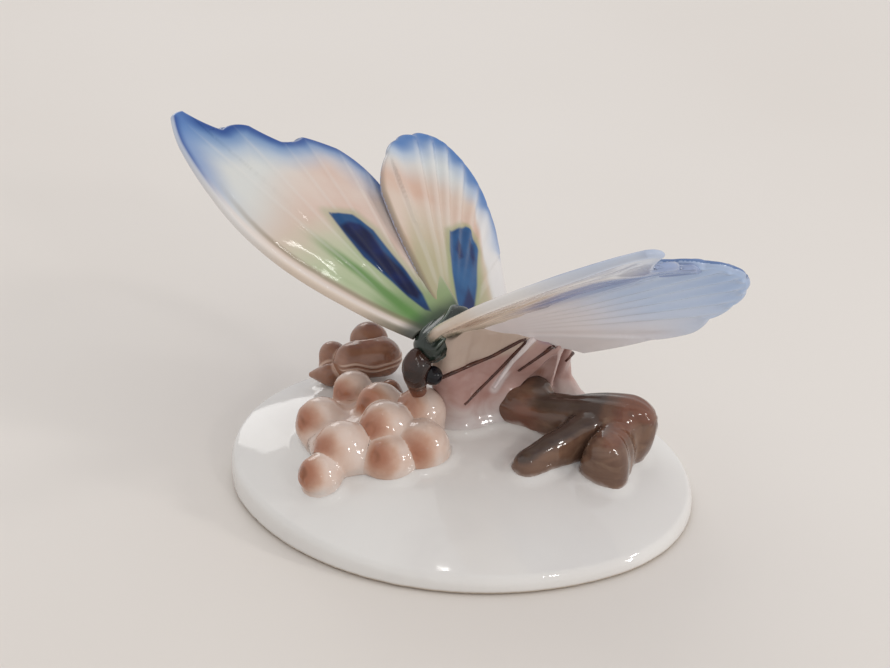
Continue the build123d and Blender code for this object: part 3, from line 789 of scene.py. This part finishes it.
# ---- wings
def bowed_outline(wing):
    """Points along the wing's edge from the leading root round to the trailing root."""
    points = []
    size = np.array([wing.length, wing.chord])
    for (*place, bow), (*next_place, _) in zip(wing.outline, wing.outline[1:]):
        start, end = place * size, next_place * size
        run = end - start
        peak = (start + end) / 2 + np.array([run[1], -run[0]]) * 2 * bow
        for share in np.arange(EDGE_STEPS) / EDGE_STEPS:
            points.append(start * (1 - share) ** 2 + peak * 2 * share * (1 - share) + end * share**2)
    points.append(end)
    return np.array(points)


def section_height(chord_mm, start, heading, steps):
    """Height of the wing's bowed mid surface over a place across the wing."""
    line, place, way = [], complex(*start), math.radians(heading)
    for length, turn in steps:
        bend = math.radians(turn)
        for share in np.linspace(0, 1, 24):
            line.append(place + length / bend * (np.exp(1j * (way + bend * share)) - np.exp(1j * way)) / 1j)
        place, way = line[-1], way + bend
    line = np.array(line)
    return np.interp(chord_mm, line.real, line.imag)


def wing_frame(name):
    """Root of a wing and its directions along, across and up."""
    sweep, rise, twist, back, up = WING_ANGLES[name]
    hand = 1 if name.endswith("left") else -1
    span = turned(turned(BODY_SIDE * hand, BODY_TAIL, sweep), BODY_BACK, rise)
    chord = unit(np.cross(BODY_BACK, span)) * hand
    lift = np.cross(span, chord) * hand
    chord = turned(chord, lift, twist)
    normal = np.cross(span, chord) * hand
    root = BODY_CENTRE + BODY_SIDE * 2.5 * hand + BODY_TAIL * back + BODY_BACK * up
    return root, span, chord, normal


def crowded(count, squeeze):
    """Shares from 0 to 1 that lie closer together towards both ends."""
    share = np.linspace(0, 1, count)
    return share + squeeze * (0.5 - 0.5 * np.cos(math.pi * share) - share)


def respaced(points, shares):
    """The same line with its points at the given shares of its length."""
    run = np.concatenate([[0], np.cumsum(np.linalg.norm(np.diff(points, axis=0), axis=1))])
    mark = shares * run[-1]
    return np.c_[np.interp(mark, run, points[:, 0]), np.interp(mark, run, points[:, 1])]


def bend_down(name, span_mm, chord_mm):
    """Lowering of the far left forewing, whose rounded tip hangs behind the hindwing."""
    if name != "forewing_left":
        return 0.0
    tip = smooth(30, 74, span_mm) * (1.5 + 1.6 * smooth(0, 14, chord_mm + 6))
    return tip + 0.9 * smooth(44, 62, span_mm) * smooth(0, 7, chord_mm)


def build_wing(name):
    kind = name.split("_")[0]
    wing = WINGS[kind]
    rim = bowed_outline(wing)
    columns = crowded(WING_COLUMNS, 0.6)
    lead_line = respaced(rim[: wing.tip + 1], columns)
    rear_line = respaced(rim[wing.tip :][::-1], columns)
    # Rows lie close together along both edges, so that the rounded rims come out smooth
    across = crowded(WING_ROWS, 0.92)
    flat = lead_line[:, None, :] * (1 - across[None, :, None]) + rear_line[:, None, :] * across[None, :, None]
    flat = flat.reshape(-1, 2)
    span_mm, chord_mm = flat[:, 0], flat[:, 1]
    edge = np.minimum(path_distance(flat, rim), 40.0)
    on_rim = np.zeros((WING_COLUMNS, WING_ROWS), bool)
    on_rim[:, 0] = on_rim[:, -1] = on_rim[-1, :] = True
    edge[on_rim.ravel()] = 0.0
    outer = path_distance(flat, rim[slice(*wing.margin)])
    lead = path_distance(flat, rim[: 4 * EDGE_STEPS])
    # Veins stand up as soft ridges and the web between them dips, most of all near the margin
    ridge = np.zeros(len(flat))
    angles = []
    for root_share, x, y in wing.veins:
        start, end = np.array([0.0, root_share * wing.chord]), np.array([x * wing.length, y * wing.chord])
        away, part = segment_distance(flat, start, end)
        fade = smooth(0.05, 0.30, part) * (1 - 0.5 * smooth(0.8, 1, part))
        ridge = np.maximum(ridge, fading(away, wing.vein_width) * fade)
        angles.append(math.atan2(end[1] - start[1], end[0] - start[0]))
    fan = np.arctan2(chord_mm, np.maximum(span_mm, 0.1) + 2.0)
    number = np.interp(fan, angles, np.arange(len(angles)), left=-0.5, right=len(angles) - 0.5)
    waves = np.cos(number * 2 * math.pi)
    reach = np.clip(span_mm / wing.length, 0, 1)
    pleat = waves * smooth(0.15, 0.8, reach) * smooth(0.0, 4.0, edge)
    mid = section_height(chord_mm, *wing.section) + pleat * wing.pleat
    sheet, clear_of_root = np.c_[flat, np.zeros(len(flat))], smooth(4, 16, span_mm)
    mid += wobble(sheet, 34.0, 5) * 0.20 * clear_of_root
    mid += wobble(sheet, 13.0, 8) * 0.08 * clear_of_root * smooth(0, 3, edge)
    mid -= bend_down(name, span_mm, chord_mm)
    # Rounded rim, thicker along the leading edge; the margin carries a row of small beads
    roll = fading(lead, 1.7) * (1 - smooth(0.75, 0.97, reach)) * wing.roll
    bead = fading(edge - 1.2, 0.8) * fading(outer, 2.4) * (np.clip(waves, 0, 1) * wing.bead)
    depth = np.clip(edge / RIM_ROUNDING, 0, 1)
    half = (HALF_THICKNESS + roll + bead) * np.sqrt(np.clip(1 - (1 - depth) ** 2, 0, 1))
    relief = ridge * wing.vein_height * smooth(0.0, 2.5, edge)
    root, span, chord, normal = wing_frame(name)
    surface = root + flat[:, :1] * span + flat[:, 1:] * chord
    upper = surface + (mid + half + relief)[:, None] * normal
    lower = surface + (mid - half - relief)[:, None] * normal
    total = len(flat)
    index = np.arange(total).reshape(WING_COLUMNS, WING_ROWS)
    a, b, c, d = (part.ravel() for part in (index[:-1, :-1], index[1:, :-1], index[1:, 1:], index[:-1, 1:]))
    faces = np.c_[a, b, c, d, a + total, d + total, c + total, b + total].reshape(-1, 4).tolist()
    root_row = index[0]
    faces += np.c_[root_row[:-1], root_row[1:], root_row[1:] + total, root_row[:-1] + total].tolist()
    data = {
        "span_mm": span_mm, "chord_mm": chord_mm, "edge_mm": edge, "outer_mm": outer, "lead_mm": lead,
        "spot_mm": inside_distance(flat, wing.spot),
        "core_mm": np.max([inside_distance(flat, core) for core in wing.cores], axis=0),
        "vein": ridge, "fan": fan,
    }
    data = {key: np.concatenate([values, values]) for key, values in data.items()}
    painted_top = smooth(0.1, 0.8, edge) if kind == "forewing" else np.ones(total)
    data["upper"] = np.concatenate([painted_top, np.zeros(total)])
    points = np.vstack([upper, lower])
    piece = new_piece(name + "_painted", points, faces, data, kind + "_paint", [name])
    tidy_surface(piece, WING_GAP)
    return piece


# ---- buds, pods, branch, wall
def blended(distances, width):
    """Smooth union of several distances: joins are filled over the given width."""
    low = np.min(distances, axis=0)
    return low - width * np.log(np.sum(np.exp(-(distances - low) / width), axis=0))


def settle(points, field):
    """Moves points along the field's slope until they lie on its zero surface."""
    step = 0.05  # millimetres
    for _ in range(5):
        here = field(points)
        slope = np.stack([field(points + step * axis) - here for axis in np.eye(3)], axis=1) / step
        size = np.maximum(np.sum(slope * slope, axis=1), 0.15)
        points = points - slope * (np.clip(here, -1.0, 1.0) / size)[:, None] * 0.8
    return points


def build_buds():
    nodes = ["bud_%d" % i for i in range(1, 10)] + ["bud_bed"]
    clay = Clay("bud_cluster", nodes, voxel=0.32, rounds=16, swell=1.14)
    points = clay.points
    balls = [(np.array(ball[:3]), ball[3]) for ball in BUD_BALLS]

    def cluster(p):
        distances = [distance_to(p, centre) - radius for centre, radius in balls]
        cushion = np.linalg.norm((p - CUSHION_CENTRE) / CUSHION_RADII, axis=1)
        distances += [(cushion - 1) * 3.4, above_mound(p) + 0.45]
        return blended(np.array(distances), BUD_JOIN)

    outside = smooth(0.15, 1.2, above_mound(points))
    points += (settle(points, cluster) - points) * outside[:, None]
    away = np.array([distance_to(points, centre) - radius for centre, radius in balls])
    owner = away.argmin(axis=0)
    tip, ring, push = np.zeros(len(points)), np.zeros(len(points)), np.zeros(len(points))
    for k, (centre, radius) in enumerate(balls):
        sway = np.array([math.sin(centre[0]), math.cos(centre[1] * 2), math.sin(centre[2] * 3)])
        lean = unit(BUD_LEAN + 0.22 * sway)
        way = points - centre
        angle = np.arccos(np.clip(way @ lean / np.maximum(np.linalg.norm(way, axis=1), 1e-6), -1, 1))
        mine = owner == k
        swirl = angle + 0.16 * np.sin(np.arctan2(way @ np.array([0.9, -0.3, 0.1]), way[:, 2]) * 3 + k)
        terraces = np.cos(swirl * 8.0 + 0.6) * (1 - smooth(0.8, 1.4, angle))
        tip = np.where(mine, 1 - np.clip(angle / 1.25, 0, 1), tip)
        ring = np.where(mine, np.clip(-terraces, 0, 1), ring)
        push = np.where(mine, terraces * 0.10 + 0.30 * fading(angle, 0.42), push)
    near = np.exp(-np.clip(away.min(axis=0), 0, 9) / 0.9)
    clay.push((push * near + wobble(points, 6.0, 2) * 0.10) * outside)
    foot = clay.seat(flare=1.0, reach=1.6, sink=0.4, fade=4.5)
    return clay.fired("bud_paint", tip=tip * near, ring=ring * near, foot=foot)


def build_mound(pieces):
    """Glazed mound whose top rises softly where the clay pieces grow out of it."""
    clay = Clay("mound_glaze", ["mound"], voxel=0.55, rounds=8)
    points = clay.points
    lift = above_mound(points)
    on_top = smooth(1.2, 0.4, np.abs(lift)) * smooth(0.6, 0.85, clay.normals[:, 2])
    points[:, 2] -= lift * on_top
    trees = [mesh_tree(piece) for piece in pieces]
    rise = np.zeros(len(points))
    for k in np.nonzero(on_top > 0.5)[0]:
        place = Vector(points[k] * MM)
        for tree in trees:
            gap = tree.find_nearest(place, GLAZE_REACH * MM)[3]
            if gap is not None:
                rise[k] = max(rise[k], (1 - gap / MM / GLAZE_REACH) ** 2 * GLAZE_RISE)
    points[:, 2] += rise * on_top
    clay.fired("white_glaze")


def build_pods():
    names = ["pod_top", "pod_middle", "pod_side", "pod_tip", "pod_small"]
    made = []
    for name in names:
        clay = Clay(name + "_clay", [name], voxel=0.26, rounds=9)
        points, middle = clay.points, node_middle(name)
        crease = np.zeros(len(points))
        for other in names:
            if other != name:
                tree = mesh_tree(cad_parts[other])
                gaps = np.array([(tree.find_nearest(Vector(p * MM))[3] or 1.0) / MM for p in points])
                crease = np.maximum(crease, fading(gaps, 0.75))
        if name == "pod_middle":
            level = points[:, 2] - middle[2]
            sway = np.sin(points[:, 0] * 0.9) * 0.35
            for offset in (-0.35, 0.65):
                line = fading(level - offset - sway, 0.26) * smooth(-6, -3, points[:, 0] - middle[0])
                crease = np.maximum(crease, line)
        clay.push(crease * 0.24 + wobble(points, 5.0, 3) * 0.14)
        if name == "pod_top":
            points[:, 2] -= 1.7 * smooth(0.0, 4.0, points[:, 2] - middle[2] + 2.0)
        foot = clay.seat(flare=0.7, reach=1.4, sink=0.35, fade=4.0)
        made.append(clay.fired("pod_brown", crease=crease, foot=foot))
    return made


def build_branch():
    nodes = ["branch_limb", "branch_knob", "branch_twig", "branch_stump"]
    clay = Clay("branch_clay", nodes, voxel=0.34, rounds=24)
    points = clay.points
    rounder, round_normals, _ = softened(nodes, "branch_clay", voxel=0.34, rounds=300)
    stump = node_middle("branch_stump")
    rounding = np.maximum(around(points, stump, 8.0, 4), around(points, LIMB_LEFT_END, 4.5, 4))
    points += (rounder + round_normals * 1.3 - points) * rounding[:, None]
    about_stump = np.arctan2(points[:, 1] - stump[1], points[:, 0] - stump[0])
    toes = np.sin(about_stump * 7) * 0.20 * around(points, stump, 5.8, 4)
    share = segment_distance(points, LIMB_START, LIMB_END)[1]
    axis_height = LIMB_START[2] + share * (LIMB_END[2] - LIMB_START[2])
    about_limb = np.arctan2(points[:, 2] - axis_height, points[:, 1] - 10.0)
    grooves = np.sin(about_limb * 9 + wobble(points, 14.0, 9) * 2.2)
    middle_part = smooth(0.1, 0.35, share) * (1 - smooth(0.82, 0.98, share))
    bark = grooves * (0.10 + 0.12 * middle_part)
    push = toes + bark * 0.6 + wobble(points, 9.0, 4) * 0.22 + wobble(points, 3.4, 8) * 0.05
    knot = around(points, KNOT_PLACE, 2.1, 4)
    clay.push(push + 0.35 + 0.45 * smooth(0.5, 1.0, share) - 0.35 * knot)
    points[:, 2] += 3.0 * smooth(10.0, 33.0, points[:, 0]) * smooth(0.5, 6.0, above_mound(points))
    foot = clay.seat(flare=0.9, reach=1.6, sink=0.35, fade=5.0)
    points = clay.points = evened(points, clay.faces, 0.6 * around(points, stump, 8.0, 4), 12)
    right_end = smooth(0.78, 1.0, share) * smooth(-1.0, 3.0, points[:, 2] - 15.5)
    red = np.maximum.reduce([around(points, RED_PLACE, 5.5), right_end, around(points, stump, 5.5) * 0.8])
    dark = smooth(0.2, 0.9, clay.normals[:, 2]) * smooth(0.05, 0.3, share) * (1 - smooth(0.72, 0.9, share))
    return clay.fired("branch_brown", red=red, dark=dark, foot=foot, groove=np.clip(-grooves, 0, 1), knot=knot)


def wall_point(run, level, hand=1):
    """Place on the clay wall's flank: share of its length, share of its height, and the side."""
    levels, shares = zip(*WALL_FLANKS)
    out = np.interp(level, levels, shares) * 4.5 * hand
    flat = WALL_MIDDLE + WALL_RUN * (run * WALL_LENGTH) + WALL_FACE * out
    return np.array([flat[0], flat[1], WALL_FOOT + level * (WALL_TOP - WALL_FOOT)])


def wall_path(path):
    return [wall_point(run, level) for run, level in path]


def raise_crest(points, wings):
    """Draws the wall's crest up and outwards until its webs meet the underside of the wings."""
    run = (points - WALL_MIDDLE) @ WALL_RUN
    marks = np.arange(-2.0, 30.0, 0.5)
    crest = np.array([points[np.abs(run - mark) < 0.6, 2].max(initial=WALL_FOOT) for mark in marks])
    height = np.interp(run, marks, crest)
    gain = np.zeros(len(points))
    for k in np.nonzero(points[:, 2] > height - 7.0)[0]:
        start = Vector((points[k] - WEB_LEAN * 0.5) * MM)
        hits = [tree.ray_cast(start, Vector(WEB_LEAN)) for tree in wings]
        gaps = [hit[3] / MM for hit in hits if hit[0] is not None]
        gap = min(gaps, default=0.0) - (height[k] - points[k, 2]) / WEB_LEAN[2]
        gain[k] = np.clip(gap + 0.9, 0.0, WEB_LONGEST) if gaps else 0.0
    # An even crest: the gain is averaged along the wall
    level = []
    for mark in marks:
        raised = gain[(np.abs(run - mark) < 1.2) & (gain > 0)]
        level.append(raised.mean() if raised.size else 0.0)
    level = np.convolve(np.pad(level, 3, "edge"), np.ones(7) / 7, "valid")
    points += WEB_LEAN * (np.interp(run, marks, level) * smooth(-7.0, 0.0, points[:, 2] - height))[:, None]
    # Under the body the wall ends inside the thorax
    from_body = np.linalg.norm((points - BODY_CENTRE)[:, :2], axis=1)
    points[:, 2] = np.minimum(points[:, 2], BODY_CENTRE[2] - 1.0 + 12.0 * smooth(3.2, 6.5, from_body))


def build_wall(wings):
    clay = Clay("leg_wall_clay", ["leg_wall", "wing_strut"], voxel=0.32, rounds=16)
    points = clay.points
    raise_crest(points, wings)
    ridge = fading(path_distance(points, wall_path(WEB_PATH)), 1.3)
    folds = np.sin((points @ WALL_RUN) * 0.75 + points[:, 2] * 0.35) * 0.22
    clay.push(folds + wobble(points, 8.0, 6) * 0.22 + ridge * 0.5)
    foot = clay.seat(flare=1.8, reach=3.2, sink=0.4, fade=12.0)
    spot = around(points, wall_point(0.84, 0.60), 2.4)
    run = (points - WALL_MIDDLE) @ WALL_RUN / WALL_LENGTH
    crease = path_distance(points, wall_path(CREASE_PATH))
    clay.push(-0.35 * fading(crease, 0.6))
    by_eye = around(points, node_middle("eye_left"), 4.2)
    front_leg = np.interp(run, [0.0, 0.5, 0.8], [0.69, 0.78, 0.85]) * (WALL_TOP - WALL_FOOT) + WALL_FOOT
    shade = np.maximum(smooth(28.0, 33.0, points[:, 2]) * smooth(0.55, 0.8, run), by_eye)
    beige = smooth(-2.5, 3.0, points[:, 2] - front_leg) * (1 - smooth(0.6, 0.8, run))
    # Painted shade along the bottom of the crease
    line = fading(crease, 0.45)
    return clay.fired("wall_pink", shade=shade, beige=beige, line=line, ridge=ridge, spot=spot, foot=foot)


# ---- legs and body
def thread_tree():
    """Node tree that sweeps a flattened clay thread along a path and tapers it to half its width."""
    tree = bpy.data.node_groups.new("clay_thread", "GeometryNodeTree")
    face = tree.interface
    face.new_socket("Path", in_out="INPUT", socket_type="NodeSocketGeometry")
    face.new_socket("Radius", in_out="INPUT", socket_type="NodeSocketFloat")
    face.new_socket("Finish", in_out="INPUT", socket_type="NodeSocketMaterial")
    face.new_socket("Thread", in_out="OUTPUT", socket_type="NodeSocketGeometry")
    wires = Wiring(tree)
    entry = {key: Socket(wires, link) for key, link in tree.nodes.new("NodeGroupInput").outputs.items()}
    path = wires.node("GeometryNodeCurveSplineType", {"spline_type": "CATMULL_ROM"}, {"Curve": entry["Path"]})
    path = wires.node("GeometryNodeResampleCurve", {}, {"Curve": path, "Count": 40})
    along = wires.node("GeometryNodeSplineParameter", {}, output="Factor")
    size = (1 - along * 0.5) * entry["Radius"]
    path = wires.node("GeometryNodeSetCurveRadius", {}, {"Curve": path, "Radius": size})
    ring = wires.node("GeometryNodeCurvePrimitiveCircle", {}, {"Resolution": 14, "Radius": 1.0})
    oval = wires.node("GeometryNodeTransform", {}, {"Geometry": ring, "Scale": (1.0, 0.8, 1.0)})
    sweep = {"Curve": path, "Profile Curve": oval, "Scale": size, "Fill Caps": True}
    thread = wires.node("GeometryNodeCurveToMesh", {}, sweep)
    thread = wires.node("GeometryNodeSetShadeSmooth", {}, [thread])
    thread = wires.node("GeometryNodeRealizeInstances", {}, [thread])
    thread = wires.node("GeometryNodeSetMaterial", {}, {"Geometry": thread, "Material": entry["Finish"]})
    wires.put(tree.nodes.new("NodeGroupOutput").inputs[0], thread)
    return tree


def thread_piece(tree, name, path, radius, finish, nodes):
    """Sweeps one thread along a path in millimetres and keeps it as a plain mesh."""
    curve = bpy.data.curves.new(name + "_path", "CURVE")
    curve.dimensions = "3D"
    spline = curve.splines.new("POLY")
    spline.points.add(len(path) - 1)
    for point, place in zip(spline.points, path):
        point.co = (*(place * MM), 1.0)
        point.radius = 1.0
    carrier = linked(name + "_path", curve)
    sweep = carrier.modifiers.new("thread", "NODES")
    sweep.node_group = tree
    values = {"Radius": radius * MM, "Finish": FINISHES[finish]}
    for item in tree.interface.items_tree:
        if item.item_type == "SOCKET" and item.in_out == "INPUT" and item.name in values:
            sweep[item.identifier] = values[item.name]
    mesh = evaluated_mesh(carrier)
    mesh.name = name
    piece = linked(name, mesh)
    tidy_surface(piece, THREAD_GAP)
    return framed(piece, nodes)


def build_legs(wall):
    tree = thread_tree()
    skin = mesh_tree(wall)

    def laid(path, hand, stand):
        """Path points moved onto the wall's skin; those above its crest are left out."""
        outward = LEGS_FACE if hand > 0 else -WALL_FACE
        shares = (0, 0.25, 0.5, 0.75)
        steps = zip(path, path[1:])
        fine = [(x0 + (x1 - x0) * s, z0 + (z1 - z0) * s) for (x0, z0), (x1, z1) in steps for s in shares]
        points = []
        for x, z in (*fine, path[-1]):
            start = Vector((wall_point(x, z, hand) + outward * 14) * MM)
            spot, normal, _, _ = skin.ray_cast(start, Vector(-outward), 20 * MM)
            if spot is not None:
                points.append(np.array(spot) / MM + np.array(normal) * stand)
        return points

    for name, path in LEG_PATHS.items():
        line = laid(path, 1 if name.endswith("left") else -1, 0.0)
        thread_piece(tree, name + "_line", line, 0.60, "leg_brown", [name])
    line = laid(WEB_PATH, 1, -0.15)
    thread_piece(tree, "leg_web_fold", line, 1.0, "web_white", ["leg_web"])


def body_places(points):
    """Place of each point across the body, along it to the tail, and up."""
    local = points - BODY_CENTRE
    return local @ BODY_SIDE, local @ BODY_TAIL, local @ BODY_BACK


def build_thorax():
    clay = Clay("thorax_hair", ["thorax"], voxel=0.2, rounds=5)
    across, along, up = body_places(clay.points)
    swirl = np.arctan2(across, up) * 5.0 + along * 0.55 + wobble(clay.points, 9.0, 12) * 0.9
    ridge = np.clip(np.cos(swirl), 0, 1) ** 3 * smooth(-7.5, -3.5, along) * (1 - smooth(5.5, 7.5, along))
    clay.push(ridge * 0.34 - 0.10)
    clay.fired("body_green", ridge=ridge)


def build_head():
    clay = Clay("head_clay", ["head", "proboscis"], voxel=0.2, rounds=8)
    across, _, up = body_places(clay.points)
    brow = np.cos(across * 1.6) * 0.18 * smooth(-9, -5, up)
    clay.push(brow + wobble(clay.points, 5.0, 15) * 0.16)
    clay.points += BODY_BACK * ((up + 5.0) * 0.30)[:, None] - BODY_SIDE * (across * 0.12)[:, None]
    clay.fired("head_brown", low=smooth(-6.0, -11.0, up))


def build_abdomen():
    clay = Clay("abdomen_clay", ["abdomen"], voxel=0.22, rounds=3)
    _, along, _ = body_places(clay.points)
    ring = np.clip(np.cos(along * 2 * math.pi / 3.1), 0, 1)
    clay.push(ring * -0.12 + wobble(clay.points, 5.0, 17) * 0.06)
    clay.fired("abdomen_brown", ring=ring)


# ---- the ornament
wings = {name: build_wing(name) for name in WING_ANGLES}
buds = build_buds()
pods = build_pods()
branch = build_branch()
wall = build_wall([mesh_tree(wings[name]) for name in ("forewing_left", "hindwing_left")])
build_legs(wall)
build_thorax()
build_head()
build_abdomen()
build_mound([buds, *pods, branch, wall])
for name in ("eye_left", "eye_right"):
    Clay(name + "_bead", [name], voxel=0.14, rounds=4, swell=1.22).fired("eye_black")


# ---- table, light and camera
def aimed(thing, place, aim):
    thing.location = place
    thing.rotation_euler = (Vector(aim) - Vector(place)).to_track_quat("-Z", "Y").to_euler()


table_mesh = bpy.data.meshes.new("table")
table_mesh.from_pydata([(-3, -3, 0), (3, -3, 0), (3, 3, 0), (-3, 3, 0)], [], [(0, 1, 2, 3)])
table_mesh.materials.append(FINISHES["table_top"])
linked("table", table_mesh)

for name, place, width, height, power, colour in LAMPS:
    lamp = bpy.data.lights.new(name, "AREA")
    lamp.shape, lamp.size, lamp.size_y, lamp.energy, lamp.color = "RECTANGLE", width, height, power, colour
    aimed(linked(name, lamp), place, (0, 0, 0.02))

world = bpy.data.worlds.new("studio")
world.use_nodes = True
world.node_tree.nodes["Background"].inputs["Color"].default_value = (0.94, 0.928, 0.924, 1.0)
world.node_tree.nodes["Background"].inputs["Strength"].default_value = 0.88
bpy.context.scene.world = world
bpy.context.scene.view_settings.view_transform = "Standard"

camera_data = bpy.data.cameras.new("camera")
camera_data.lens = 80.0
camera_data.sensor_width = 36.0
camera_data.clip_start = 0.01
camera = linked("camera", camera_data)
aimed(camera, (0.10588, -0.32572, 0.21712), (-0.0031, 0.0, 0.0345))
bpy.context.scene.camera = camera
